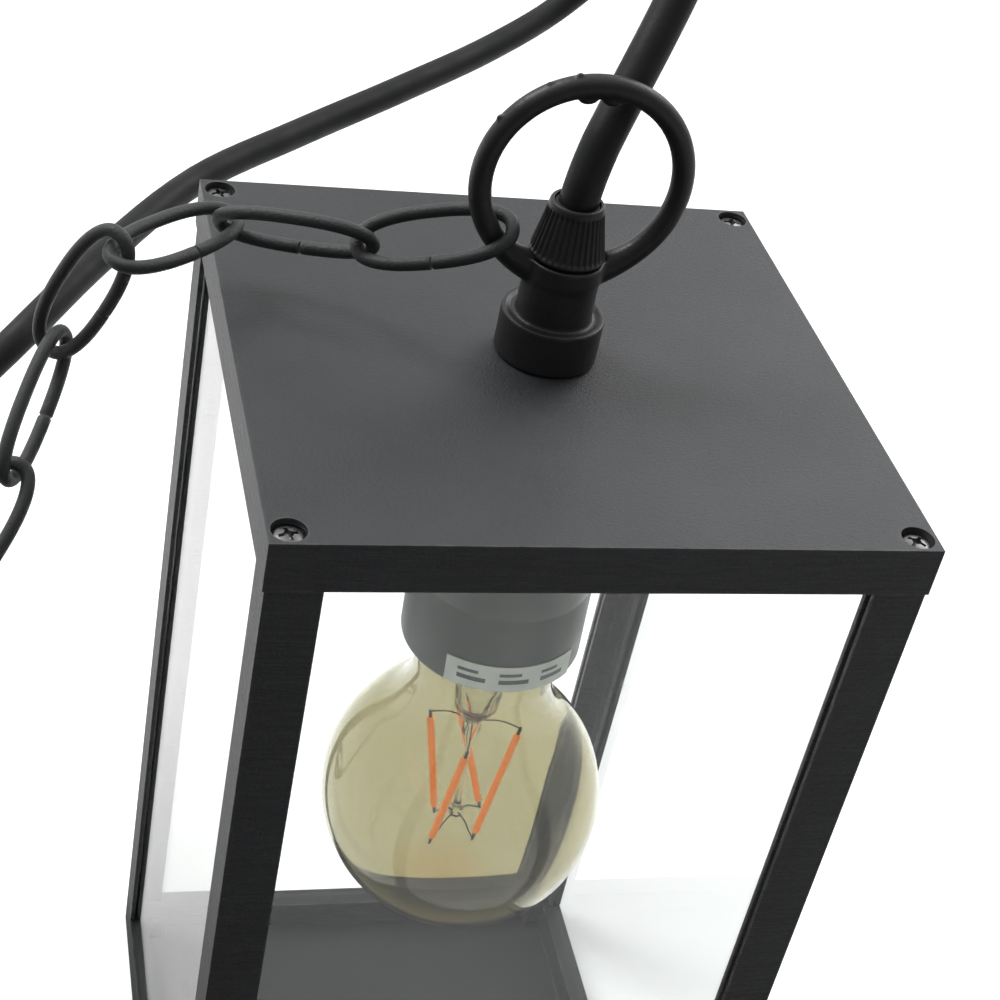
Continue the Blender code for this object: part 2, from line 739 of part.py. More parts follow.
def make_chain(coat):
    """The links. Each one's origin is on its hinge, in the middle of the wire that it hangs in."""
    places = link_places()
    for number, (centre, (length, width, thickness)) in enumerate(places, start=1):
        side = 1 if number % 2 else -1
        link = swept(f"chain_link_{number:02d}", link_centre_line(side), LINK_WIRE_R, 6, coat)
        turn = Matrix((length, width, thickness)).transposed()
        if number == 1:
            hinge = ring_grip(centre, length)
        else:
            before, axes = places[number - 2]
            hinge = before + LINK_HALF_LENGTH * axes[0]
        link.data.transform(Matrix.Translation(turn.inverted() @ (centre - hinge) * MM))
        link.matrix_world = Matrix.Translation(hinge * MM) @ turn.to_4x4()


# Cable


def cable_path():
    """The cable's centre line: straight up through the gland, a bend out of the nut, then the free route."""
    heading = math.radians(CABLE_HEADING)
    route = [(0.0, 0.0, CABLE_START), (0.0, 0.0, (CABLE_START + CABLE_BEND_START) / 2)]
    for step in range(5):
        turn = math.radians(CABLE_BEND * step / 4)
        out = CABLE_BEND_R * (1 - math.cos(turn))
        up = CABLE_BEND_START + CABLE_BEND_R * math.sin(turn)
        route.append((out * math.cos(heading), out * math.sin(heading), up))
    return smooth_route([*route, *CABLE_ROUTE], spacing=15.5)


def make_cable(rubber, copper):
    curve = bpy.data.curves.new("cable", "CURVE")
    curve.dimensions = "3D"
    curve.bevel_depth = CABLE_R * MM
    curve.bevel_resolution = 2
    curve.use_fill_caps = True
    points = cable_path()
    spline = curve.splines.new("POLY")
    spline.points.add(len(points) - 1)
    for target, point in zip(spline.points, points):
        target.co = (*(point * MM), 1.0)
    curve.materials.append(rubber)
    bpy.context.scene.collection.objects.link(bpy.data.objects.new("cable", curve))

    low, high = 0.3, COIL_HEIGHT
    soft = 3.0
    coil = [
        (COIL_INNER_R, low),
        (COIL_OUTER_R, low),
        (COIL_OUTER_R, high - soft),
        (COIL_OUTER_R - soft, high),
        (COIL_INNER_R + soft, high),
        (COIL_INNER_R, high - soft),
    ]
    turned("cable_coil", coil, rubber, sides=32).location = (COIL_CENTRE[0] * MM, COIL_CENTRE[1] * MM, 0.0)

    start_x, middle_y = CORES_START
    outline = [
        (start_x, middle_y - CABLE_R),
        (start_x, middle_y + CABLE_R),
        (start_x - 9.0, middle_y + CABLE_R),
        (start_x - CORES_LENGTH, middle_y + CABLE_R + 2.0),
        (start_x - CORES_LENGTH, middle_y - CABLE_R - 1.0),
        (start_x - 9.0, middle_y - CABLE_R),
    ]
    prism("cable_cores_end", outline, 0.4, 5.5, copper)


def main():
    clear_scene()
    coat = finish("powder_coat_graphite", (0.030, 0.031, 0.032), roughness=0.5)
    clear = finish("clear_glass", (0.95, 0.97, 0.96), roughness=0.03, transmission=1.0)
    amber = finish("amber_glass", (0.93, 0.72, 0.42), roughness=0.03, transmission=1.0)
    plastic = finish("black_plastic", (0.020, 0.021, 0.021), roughness=0.55)
    phenolic = finish("phenolic_black", (0.022, 0.022, 0.022), roughness=0.45)
    rubber = finish("cable_rubber", (0.022, 0.022, 0.022), roughness=0.7)
    steel = finish("zinc_steel", (0.55, 0.55, 0.54), roughness=0.35, metallic=1.0)
    brass = finish("nickel_brass", (0.74, 0.66, 0.50), roughness=0.3, metallic=1.0)
    copper = finish("copper", (0.80, 0.45, 0.28), roughness=0.35, metallic=1.0)
    phosphor = finish("filament_phosphor", (0.85, 0.42, 0.06), roughness=0.6)
    paper = finish("label_paper", (0.62, 0.62, 0.60), roughness=0.6)
    cores = (
        finish("core_brown", (0.18, 0.07, 0.03)),
        finish("core_blue", (0.03, 0.12, 0.45)),
        finish("core_green_yellow", (0.35, 0.45, 0.05)),
    )

    make_roof_cap(coat)
    make_base_tray(coat)
    make_posts(coat)
    make_glass(clear)
    make_corner_screws(steel)
    make_gland(plastic, rubber, steel)
    axis = holder_frame()
    make_lampholder(axis, phenolic, brass, paper)
    make_bulb(axis, amber, brass, phenolic, phosphor)
    make_cores(cores)
    make_chain(coat)
    make_cable(rubber, copper)


main()
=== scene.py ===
"""Looks of the hanging lantern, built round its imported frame.

Shapes are drawn in millimetres and become metres where a mesh is made. They lie in the frame of the CAD
model: the origin is the middle of the base's underside, +Y is the back and +Z is up.
"""

import json
import math

import bmesh
import bpy
import numpy as np
from mathutils import Matrix, Vector
from mathutils.geometry import interpolate_bezier


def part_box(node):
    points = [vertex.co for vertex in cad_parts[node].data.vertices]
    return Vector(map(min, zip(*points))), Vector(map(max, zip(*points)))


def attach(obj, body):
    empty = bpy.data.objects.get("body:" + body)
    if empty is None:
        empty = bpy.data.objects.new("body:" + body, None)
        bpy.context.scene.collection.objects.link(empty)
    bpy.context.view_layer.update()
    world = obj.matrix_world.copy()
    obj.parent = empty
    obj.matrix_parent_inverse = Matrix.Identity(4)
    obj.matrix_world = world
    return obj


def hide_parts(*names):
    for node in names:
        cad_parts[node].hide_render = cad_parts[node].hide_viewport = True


MM = 0.001
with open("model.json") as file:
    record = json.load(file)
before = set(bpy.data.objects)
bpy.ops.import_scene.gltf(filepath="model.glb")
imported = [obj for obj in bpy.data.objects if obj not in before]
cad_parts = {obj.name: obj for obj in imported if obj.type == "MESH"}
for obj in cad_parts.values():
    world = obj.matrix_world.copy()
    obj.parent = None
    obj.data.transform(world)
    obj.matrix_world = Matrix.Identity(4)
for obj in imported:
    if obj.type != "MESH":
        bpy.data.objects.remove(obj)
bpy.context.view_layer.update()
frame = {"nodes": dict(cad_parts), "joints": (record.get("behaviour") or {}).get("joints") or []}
NODES = frame["nodes"]
JOINTS = {joint["name"]: joint for joint in frame["joints"]}
CORNERS = ("front_left", "front_right", "back_right", "back_left")

# The cable's route in metres: through the gland and round to the coil, and from the coil to its end
CABLE_D = 0.0074
GLAND_POINTS = 7
CABLE_ROUTE = (
    (0.0, 0.0, 0.2405),
    (0.0, 0.0, 0.24605),
    (0.0, 0.0, 0.2516),
    (0.00023, 0.00023, 0.25603),
    (0.00093, 0.00093, 0.26037),
    (0.00207, 0.00207, 0.26452),
    (0.00363, 0.00363, 0.26838),
    (0.0157, 0.0168, 0.2895),
    (0.0250, 0.0290, 0.3070),
    (0.0360, 0.0460, 0.3220),
    (0.0500, 0.0720, 0.3340),
    (0.0650, 0.1080, 0.3370),
    (0.0780, 0.1480, 0.3250),
    (0.0880, 0.1870, 0.2970),
    (0.0910, 0.2150, 0.2580),
    (0.0830, 0.2280, 0.2220),
    (0.0640, 0.2240, 0.2010),
    (0.0400, 0.2090, 0.1915),
    (0.0100, 0.1890, 0.1855),
    (-0.0200, 0.1690, 0.1805),
    (-0.0490, 0.1450, 0.1775),
    (-0.0740, 0.1130, 0.1730),
    (-0.0960, 0.0840, 0.1650),
    (-0.1210, 0.0680, 0.1450),
    (-0.1450, 0.0700, 0.1110),
    (-0.1620, 0.0840, 0.0720),
    (-0.1710, 0.1020, 0.0360),
    (-0.1725, 0.1210, 0.0130),
    (-0.1714, 0.1410, 0.0046),
    (-0.1713, 0.1600, 0.0042),
    (-0.1713, 0.1740, 0.0041),
)
CABLE_END = (
    (-0.2130, 0.2326, 0.0113),
    (-0.2250, 0.2360, 0.0093),
    (-0.2370, 0.2386, 0.0056),
    (-0.2470, 0.2395, 0.0040),
)


# Roof and base, in millimetres
PLATE_WALL = 6.2
PLATE_THICKNESS = 2.5
PLATE_EDGE = 0.6
CORNER_BLOCK = 3.8
SCREW_HOLE_R = 3.1
SCREW_HOLE_DEPTH = 2.1
GLAND_HOLE_R = 5.3
OVERCUT = 1.0

# Gland in millimetres. Its neck ends in a seat for the nut, with a hollow spigot above it.
RING_CENTRE = 260.5
RING_R = 18.9
RING_WIRE_R = 2.15
BORE_R = 4.1
SPIGOT_R = 4.9
SPIGOT_TOP = 249.5
SEAT_R = 7.5
SEAT_Z = 245.2

# Lampholder and bulb in millimetres, with heights along their leaned axis from its pivot
HOLDER_R = 19.0
HOLDER_WALL = 2.0
HOLDER_BOTTOM = -60.0
BULB_R = 31.0
BULB_CENTRE = -105.0
BULB_WALL = 0.8
NECK_R = 15.0
SHOULDER_R = 20.0
FILAMENT_R = 0.8

# Chain in millimetres
LINK_HALF_LENGTH = 15.04
LINK_HALF_WIDTH = 5.35
LINK_WIRE_R = 1.3
LINK_SQUARENESS = 2.4
LINK_SLIT = 0.42


# Materials


class Paint:
    """A Principled material with short ways to add nodes. Coordinates are the object's own, in metres."""

    def __init__(self, name, colour, roughness, metallic=0.0):
        self.material = bpy.data.materials.new(name)
        self.material.use_nodes = True
        self.tree = self.material.node_tree
        self.shader = self.tree.nodes["Principled BSDF"]
        self.set("Base Color", (*colour, 1.0))
        self.set("Roughness", roughness)
        self.set("Metallic", metallic)
        self.place = self.add("ShaderNodeTexCoord").outputs["Object"]

    def set(self, socket, value):
        self.shader.inputs[socket].default_value = value

    def add(self, kind, inputs=None, **settings):
        node = self.tree.nodes.new(kind)
        for key, value in settings.items():
            setattr(node, key, value)
        for key, value in (inputs or {}).items():
            if isinstance(value, bpy.types.NodeSocket):
                self.tree.links.new(value, node.inputs[key])
            else:
                node.inputs[key].default_value = value
        return node

    def link(self, output, socket):
        self.tree.links.new(output, self.shader.inputs[socket])

    def noise(self, scale, detail=3.0, stretch=(1.0, 1.0, 1.0), roughness=0.5):
        place = self.place
        if stretch != (1.0, 1.0, 1.0):
            place = self.add("ShaderNodeMapping", {"Vector": place, "Scale": stretch}).outputs["Vector"]
        inputs = {"Vector": place, "Scale": scale, "Detail": detail, "Roughness": roughness}
        return self.add("ShaderNodeTexNoise", inputs).outputs["Fac"]

    def spread(self, value, low, high, to_low=0.0, to_high=1.0):
        inputs = {"Value": value, "From Min": low, "From Max": high, "To Min": to_low, "To Max": to_high}
        return self.add("ShaderNodeMapRange", inputs).outputs["Result"]

    def math(self, operation, first, second):
        return self.add("ShaderNodeMath", {0: first, 1: second}, operation=operation).outputs[0]

    def mix(self, factor, first, second):
        node = self.add("ShaderNodeMix", data_type="RGBA")
        for socket, value in ((node.inputs[0], factor), (node.inputs[6], first), (node.inputs[7], second)):
            if isinstance(value, bpy.types.NodeSocket):
                self.tree.links.new(value, socket)
            else:
                socket.default_value = value if isinstance(value, float) else (*value[:3], 1.0)
        return node.outputs[2]

    def bump(self, heights):
        """Adds bumps on each other. Each is a height output and the depth in metres that it stands for."""
        normal = None
        for height, depth in heights:
            inputs = {"Height": height, "Distance": depth, "Strength": 1.0}
            if normal:
                inputs["Normal"] = normal
            normal = self.add("ShaderNodeBump", inputs).outputs["Normal"]
        self.link(normal, "Normal")

    def edges(self, radius):
        """1 along sharp edges and 0 on flat or gently curved faces."""
        rounded = self.add("ShaderNodeBevel", {"Radius": radius}, samples=4).outputs["Normal"]
        flat = self.add("ShaderNodeNewGeometry").outputs["Normal"]
        along = self.add("ShaderNodeVectorMath", {0: rounded, 1: flat}, operation="DOT_PRODUCT")
        return self.spread(along.outputs["Value"], 0.995, 0.9)


def powder_coat(name, colour, grain=1500.0, depth=0.00020, streaks=True, gloss=0.5):
    """Textured powder coat. Streaks run level along the upright faces, as they do over rolled steel."""
    paint = Paint(name, colour, 0.42)
    paint.set("Specular IOR Level", gloss)
    worn = [0.35 * part + 0.10 for part in colour]
    light = [1.3 * part for part in colour]
    coat = paint.mix(paint.spread(paint.noise(35.0, 2.0), 0.35, 0.65), colour, light)
    grains = paint.noise(grain, 5.0, roughness=0.7)
    heights = [(paint.noise(90.0, 2.0), 0.00010), (grains, depth)]
    if streaks:
        upright = paint.add("ShaderNodeNewGeometry").outputs["Normal"]
        rise = paint.add("ShaderNodeSeparateXYZ", {"Vector": upright}).outputs["Z"]
        side = paint.math("LESS_THAN", paint.math("ABSOLUTE", rise, 0.0), 0.5)
        lines = paint.noise(1.0, 4.0, stretch=(110.0, 110.0, 1300.0), roughness=0.65)
        heights.append((paint.math("MULTIPLY", lines, side), 0.0007))
        streak = paint.math("MULTIPLY", paint.spread(lines, 0.42, 0.66), side)
        coat = paint.mix(paint.math("MULTIPLY", streak, 0.6), coat, [1.9 * part for part in colour])
    rubbed = paint.math("MULTIPLY", paint.edges(0.0008), paint.spread(paint.noise(260.0, 4.0), 0.38, 0.6))
    paint.link(paint.mix(paint.math("MULTIPLY", rubbed, 0.8), coat, worn), "Base Color")
    paint.link(paint.spread(grains, 0.3, 0.7, 0.36, 0.5), "Roughness")
    paint.bump(heights)
    return paint.material


def moulded(name, colour, roughness, grain=900.0, depth=0.00008, gloss=0.5):
    """Moulded plastic or rubber: a fine even grain, soft clouds of gloss and paler handled edges."""
    paint = Paint(name, colour, roughness)
    paint.set("Specular IOR Level", gloss)
    pale = [1.6 * part + 0.012 for part in colour]
    cloud = paint.spread(paint.noise(120.0, 3.0), 0.4, 0.7)
    rubbed = paint.math("MULTIPLY", paint.edges(0.0005), paint.spread(paint.noise(400.0), 0.35, 0.6))
    dusty = paint.math("MAXIMUM", paint.math("MULTIPLY", cloud, 0.25), paint.math("MULTIPLY", rubbed, 0.6))
    paint.link(paint.mix(dusty, colour, pale), "Base Color")
    paint.link(paint.spread(paint.noise(160.0), 0.3, 0.7, roughness - 0.07, roughness + 0.08), "Roughness")
    heights = [(paint.noise(150.0), 1.2 * depth)]
    if grain:
        heights.append((paint.noise(grain, 4.0, roughness=0.6), depth))
    paint.bump(heights)
    return paint.material


def metal(name, colour, roughness, brushed=(1.0, 1.0, 1.0)):
    """Plated metal with duller patches and fine brushing."""
    paint = Paint(name, colour, roughness, metallic=1.0)
    dull = [0.72 * part for part in colour]
    paint.link(paint.mix(paint.spread(paint.noise(300.0, 4.0), 0.4, 0.65), colour, dull), "Base Color")
    brushing = paint.noise(900.0, 3.0, stretch=brushed)
    paint.link(paint.spread(brushing, 0.3, 0.7, roughness - 0.08, roughness + 0.12), "Roughness")
    paint.bump([(brushing, 0.00003)])
    return paint.material


def glass(name, colour, ripple, crown=None, ior=1.46):
    """Clear or tinted glass with a faint ripple and a trace of dust. A crown is a deeper tint, and the two
    heights in metres between which it comes in."""
    paint = Paint(name, colour, 0.0)
    paint.set("Transmission Weight", 1.0)
    paint.set("IOR", ior)
    dust = paint.spread(paint.noise(70.0, 5.0, roughness=0.65), 0.58, 0.8, 0.0, 0.12)
    paint.link(dust, "Roughness")
    paint.bump([(paint.noise(22.0, 1.0), ripple)])
    if crown:
        deep, low, high = crown
        rise = paint.add("ShaderNodeSeparateXYZ", {"Vector": paint.place}).outputs["Z"]
        paint.link(paint.mix(paint.spread(rise, high, low), colour, deep), "Base Color")
    return paint.material


def paper(name, colour):
    """Matt paper or print, a little faded in patches."""
    paint = Paint(name, colour, 0.5)
    faded = [0.82 * part for part in colour]
    paint.link(paint.mix(paint.spread(paint.noise(240.0, 4.0), 0.35, 0.7), colour, faded), "Base Color")
    paint.bump([(paint.noise(2200.0), 0.00002)])
    return paint.material


def phosphor(name, colour):
    """The filaments' mottled coat, with a weak glow of its own."""
    paint = Paint(name, colour, 0.55)
    deep = [0.7 * part for part in colour]
    paint.link(paint.mix(paint.spread(paint.noise(900.0, 4.0), 0.35, 0.65), colour, deep), "Base Color")
    paint.set("Emission Color", (*colour, 1.0))
    paint.set("Emission Strength", 0.75)
    paint.set("Specular IOR Level", 0.1)
    paint.bump([(paint.noise(2500.0), 0.00004)])
    return paint.material


COAT = powder_coat("powder_coat_graphite", (0.0262, 0.0278, 0.0308))
# The base's coat is a darker copy of the roof's coat. The darkening is painted shade for the light that the
# glass panes would hold back.
SHADED_COAT = powder_coat("powder_coat_base_painted_shade", (0.012, 0.0138, 0.0133), depth=0.00004, gloss=0.22)
LINK_COAT = powder_coat("powder_coat_chain", (0.026, 0.028, 0.028), grain=1600.0, streaks=False)
PLASTIC = moulded("nylon_black", (0.015, 0.0155, 0.0155), 0.44)
PHENOLIC = moulded("phenolic_grey_black", (0.036, 0.041, 0.035), 0.40, grain=0.0, depth=0.00002, gloss=0.36)
DARK_PHENOLIC = moulded("phenolic_inside", (0.030, 0.030, 0.030), 0.5)
SHEATH = moulded("rubber_sheath", (0.008, 0.0085, 0.010), 0.55, grain=1500.0, depth=0.00005, gloss=0.32)
RUBBER = moulded("rubber_seal", (0.015, 0.015, 0.015), 0.6)
PANE = glass("float_glass", (0.975, 0.99, 0.982), 0.00002)
STEM_GLASS = glass("stem_glass", (0.97, 0.975, 0.95), 0.00005)
AMBER_CROWN = ((0.55, 0.40, 0.17), 0.0765, 0.0805)
AMBER = glass("amber_glass", (0.570, 0.540, 0.385), 0.00012, crown=AMBER_CROWN, ior=1.36)
ZINC = metal("zinc_plate", (0.24, 0.24, 0.235), 0.38)
BRIGHT_ZINC = metal("zinc_plate_bright", (0.62, 0.62, 0.60), 0.34)
NICKEL = metal("nickel_plate", (0.66, 0.62, 0.54), 0.28, brushed=(1.0, 1.0, 6.0))
COPPER = metal("tinned_copper", (0.78, 0.52, 0.38), 0.35)
LEAD_WIRE = metal("lead_wire", (0.12, 0.11, 0.10), 0.4)
PHOSPHOR = phosphor("filament_phosphor", (0.95, 0.26, 0.004))
LABEL = paper("label_paper", (0.49, 0.52, 0.465))
INK = paper("label_ink", (0.045, 0.045, 0.045))
CORE_COLOURS = {
    "core_brown": moulded("core_brown", (0.12, 0.045, 0.02), 0.4),
    "core_blue": moulded("core_blue", (0.02, 0.09, 0.36), 0.4),
    "core_green": moulded("core_green_yellow", (0.30, 0.38, 0.03), 0.4),
}


# Mesh helpers


def make(name, bm, material, body, replaces=(), smooth=35.0, place=None):
    """Turns a bmesh in millimetres into a piece that rides on a body."""
    bmesh.ops.recalc_face_normals(bm, faces=bm.faces)
    bmesh.ops.scale(bm, vec=(MM, MM, MM), verts=bm.verts)
    if place:
        bm.transform(place)
    mesh = bpy.data.meshes.new(name)
    bm.to_mesh(mesh)
    bm.free()
    mesh.materials.append(material)
    mesh.shade_smooth()
    mesh.set_sharp_from_angle(angle=math.radians(smooth))
    piece = bpy.data.objects.new(name, mesh)
    bpy.context.scene.collection.objects.link(piece)
    register(piece, body, replaces)
    return piece


def register(piece, body, replaces=()):
    """Puts a piece on the body that it rides on, and hides the CAD nodes that it stands for."""
    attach(piece, body)
    if replaces:
        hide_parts(*replaces)


def rounded(profile, radius, steps=4):
    """A closed outline with its corners rounded off by up to the radius. Points on the axis stay sharp."""
    points = [Vector(point) for point in profile]
    result = []
    for index, point in enumerate(points):
        before, after = points[index - 1], points[(index + 1) % len(points)]
        if point.x == 0.0:
            result.append(point)
            continue
        back, ahead = before - point, after - point
        reach = min(radius, 0.45 * back.length, 0.45 * ahead.length)
        start, end = point + back.normalized() * reach, point + ahead.normalized() * reach
        for step in range(steps + 1):
            t = step / steps
            result.append(start * (1 - t) ** 2 + point * 2 * t * (1 - t) + end * t**2)
    return result


def add_turned(bm, profile, sides=96, shape=None):
    """Turns a closed profile of (radius, height) about Z, less shape(angle, radius, z) off each radius."""
    rings = []
    for radius, z in profile:
        if radius < 1e-6:
            rings.append([bm.verts.new((0.0, 0.0, z))])
            continue
        ring = []
        for index in range(sides):
            angle = 2 * math.pi * index / sides
            r = radius - (shape(angle, radius, z) if shape else 0.0)
            ring.append(bm.verts.new((r * math.cos(angle), r * math.sin(angle), z)))
        rings.append(ring)
    for first, second in zip(rings, rings[1:] + rings[:1]):
        if len(first) == 1 and len(second) == 1:
            continue
        for index in range(sides):
            after = (index + 1) % sides
            corners = [first[index % len(first)], first[after % len(first)]]
            corners += [second[after % len(second)], second[index % len(second)]]
            bm.faces.new(list(dict.fromkeys(corners)))
    return bm


def add_swept(bm, points, radius, sides=16, closed=False):
    """Sweeps a circle along points. The radius is one number, or one for each point."""
    path = [Vector(point) for point in points]
    count = len(path)
    radii = radius if isinstance(radius, (list, tuple)) else [radius] * count
    rings = []
    side = None
    for index, point in enumerate(path):
        before = path[index - 1] if closed or index else point
        after = path[(index + 1) % count] if closed or index < count - 1 else point
        along = (after - before).normalized()
        side = along.orthogonal().normalized() if side is None else side
        side = (side - along * side.dot(along)).normalized()
        across = along.cross(side)
        turn = [2 * math.pi * corner / sides for corner in range(sides)]
        r = radii[index]
        rings.append([bm.verts.new(point + r * (math.cos(a) * side + math.sin(a) * across)) for a in turn])
    pairs = list(zip(rings, rings[1:]))
    if closed:
        pairs.append((rings[-1], rings[0]))
    for first, second in pairs:
        for corner in range(sides):
            after = (corner + 1) % sides
            bm.faces.new((first[corner], first[after], second[after], second[corner]))
    if not closed:
        bm.faces.new(reversed(rings[0]))
        bm.faces.new(rings[-1])
    return bm


def add_prism(bm, outline, low, high):
    """Adds an upright prism on an outline of (x, y), between two heights."""
    bottom = [bm.verts.new((x, y, low)) for x, y in outline]
    top = [bm.verts.new((x, y, high)) for x, y in outline]
    bm.faces.new(reversed(bottom))
    bm.faces.new(top)
    for index in range(len(outline)):
        after = (index + 1) % len(outline)
        bm.faces.new((bottom[index], bottom[after], top[after], top[index]))
    return bm


def circle(radius, sides, x=0.0, y=0.0):
    turn = [2 * math.pi * index / sides for index in range(sides)]
    return [(x + radius * math.cos(a), y + radius * math.sin(a)) for a in turn]


def square(half):
    return [(-half, -half), (half, -half), (half, half), (-half, half)]


def helper(bm):
    """A throwaway object in millimetres, for modifiers to work on."""
    bmesh.ops.recalc_face_normals(bm, faces=bm.faces)
    mesh = bpy.data.meshes.new("helper")
    bm.to_mesh(mesh)
    bm.free()
    obj = bpy.data.objects.new("helper", mesh)
    bpy.context.scene.collection.objects.link(obj)
    return obj


def settle(obj, others=()):
    """Applies the object's modifiers, removes it and its helpers, and gives the result as a bmesh."""
    graph = bpy.context.evaluated_depsgraph_get()
    bm = bmesh.new()
    result = obj.evaluated_get(graph).to_mesh()
    bm.from_mesh(result)
    for used in (obj, *others):
        bpy.data.objects.remove(used)
    return bm


def boolean(obj, other, operation):
    modifier = obj.modifiers.new(operation, "BOOLEAN")
    modifier.operation = operation
    modifier.object = other
    modifier.solver = "EXACT"


def soften(obj, width, segments=2):
    """Rounds an object's sharp edges with a bevel of this width in millimetres."""
    modifier = obj.modifiers.new("edge", "BEVEL")
    modifier.width = width * MM
    modifier.segments = segments
    modifier.limit_method = "ANGLE"
    modifier.angle_limit = math.radians(30.0)
    modifier.harden_normals = True
    obj.data.shade_smooth()


def dress(name, finish, edge):
    """Gives a CAD node that stays its finish, and rounds its edges by this many millimetres."""
    node = NODES[name]
    node.data.materials.clear()
    node.data.materials.append(finish)
    soften(node, edge)
    return node


def arc(centre, radius, start, end, steps):
    """Points along an arc between two angles in degrees."""
    turn = [math.radians(start + (end - start) * step / steps) for step in range(steps + 1)]
    return [(centre[0] + radius * math.cos(a), centre[1] + radius * math.sin(a)) for a in turn]


def smooth_route(points, steps=12):
    """A smooth curve through points."""
    route = [Vector(point) for point in points]
    fine = []
    for index in range(len(route) - 1):
        before, after = route[max(index - 1, 0)], route[min(index + 2, len(route) - 1)]
        start, end = route[index], route[index + 1]
        reach = (end - start).length / 3
        out_of_start = start + (end - before).normalized() * reach
        into_end = end - (after - start).normalized() * reach
        fine += interpolate_bezier(start, out_of_start, into_end, end, steps + 1)[:-1]
    return [*fine, route[-1]]


def corners_of(node):
    """A CAD node's lowest and highest corners, in millimetres."""
    low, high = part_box(node)
    return low / MM, high / MM


def mesh_points(node):
    """A CAD node's vertices, in millimetres."""
    return np.array([vertex.co for vertex in NODES[node].data.vertices], float) / MM


# Body


def screw_place(end, corner):
    """The middle of a CAD screw in plan, and its lowest and highest point."""
    low, high = corners_of(f"{end}_screw_{corner}")
    return (low.x + high.x) / 2, (low.y + high.y) / 2, low.z, high.z


def make_plate(node, end, coat):
    """The roof or the base: a folded tray with counterbored screw holes in its corner blocks."""
    low, high = corners_of(node)
    tray = helper(add_prism(bmesh.new(), square(high.x), low.z, high.z))
    inner, block = high.x - PLATE_WALL, high.x - PLATE_WALL - CORNER_BLOCK
    quarter = [(inner, block), (block, block), (block, inner)]
    outline = []
    for _ in range(4):
        outline += quarter
        quarter = [(-y, x) for x, y in quarter]
    heads = bmesh.new()
    screws = [screw_place(end, corner) for corner in CORNERS]
    if end == "roof":
        pocket = add_prism(bmesh.new(), outline, low.z - OVERCUT, high.z - PLATE_THICKNESS)
        for x, y, _, top in screws:
            add_prism(heads, circle(SCREW_HOLE_R, 48, x, y), top - SCREW_HOLE_DEPTH, high.z + OVERCUT)
    else:
        pocket = add_prism(bmesh.new(), outline, low.z + PLATE_THICKNESS, high.z + OVERCUT)
        for x, y, bottom, _ in screws:
            add_prism(heads, circle(SCREW_HOLE_R, 48, x, y), low.z - OVERCUT, bottom + SCREW_HOLE_DEPTH)
    cutters = [helper(pocket), helper(heads)]
    if end == "roof":
        below, above = high.z - PLATE_THICKNESS - OVERCUT, high.z + OVERCUT
        cutters.append(helper(add_prism(bmesh.new(), circle(GLAND_HOLE_R, 48), below, above)))
    for cutter in cutters:
        boolean(tray, cutter, "DIFFERENCE")
    bm = settle(tray, cutters)
    bmesh.ops.triangulate(bm, faces=[face for face in bm.faces if len(face.verts) > 4])
    piece = make(f"{node}_coated", bm, coat, "lantern", [node])
    soften(piece, PLATE_EDGE, segments=3)


def make_body():
    make_plate("roof_cap", "roof", COAT)
    # The base tray gets the darker coat, which carries painted shade.
    make_plate("base_tray", "base", SHADED_COAT)
    for corner in CORNERS:
        dress(f"corner_post_{corner}", COAT, 0.3)
    for side in ("front", "right", "back", "left"):
        dress(f"glass_{side}", PANE, 0.25).visible_shadow = False


def make_screw(name, x, y, top, upside_down, turn):
    """A pan-head screw with a cross recess."""
    crown_r, head_r, shank_r = 7.4, 2.8, 1.5
    profile = [(0.0, 0.0), *arc((0.0, -crown_r), crown_r, 90, 70, 6)[1:], (head_r, -0.75), (head_r, -1.8)]
    profile += [(shank_r, -1.8), (shank_r, -15.0), (0.9, -16.0), (0.0, -16.0)]
    screw = helper(add_turned(bmesh.new(), rounded(profile, 0.2, 2), sides=48))
    cross = bmesh.new()
    for half_x, half_y in ((1.75, 0.36), (0.36, 1.75)):
        arm = [(-half_x, -half_y), (half_x, -half_y), (half_x, half_y), (-half_x, half_y)]
        add_prism(cross, arm, -1.1, 1.0)
    point = [(0.0, -1.7), (0.75, -0.9), (0.95, 0.5), (0.0, 0.5)]
    cutters = [helper(cross), helper(add_turned(bmesh.new(), point, sides=24))]
    cutters[0].modifiers.new("merge", "REMESH").voxel_size = 0.06
    for cutter in cutters:
        boolean(screw, cutter, "DIFFERENCE")
    middle = Vector((x, y)) * MM
    place = Matrix.Translation((*middle, top * MM)) @ Matrix.Rotation(turn, 4, "Z")
    if upside_down:
        place = place @ Matrix.Rotation(math.pi, 4, "X")
    make(f"{name}_plated", settle(screw, cutters), ZINC, "lantern", [name], place=place)


def make_screws():
    for index, corner in enumerate(CORNERS):
        turn = math.radians(15 + 31 * index)
        x, y, _, top = screw_place("roof", corner)
        make_screw(f"roof_screw_{corner}", x, y, top, False, turn)
        x, y, bottom, _ = screw_place("base", corner)
        make_screw(f"base_screw_{corner}", x, y, bottom, True, turn)


# Gland, ring and nut


def ring_points(steps=160):
    """The middle of the hanging ring's wire and its radius, which swells where it runs into the neck."""
    angles = [2 * math.pi * step / steps for step in range(steps)]
    points = [(RING_R * math.cos(a), 0.0, RING_CENTRE + RING_R * math.sin(a)) for a in angles]
    radii = [RING_WIRE_R + 1.6 * math.exp(-(((a - 1.5 * math.pi) / 0.48) ** 2)) for a in angles]
    return points, radii


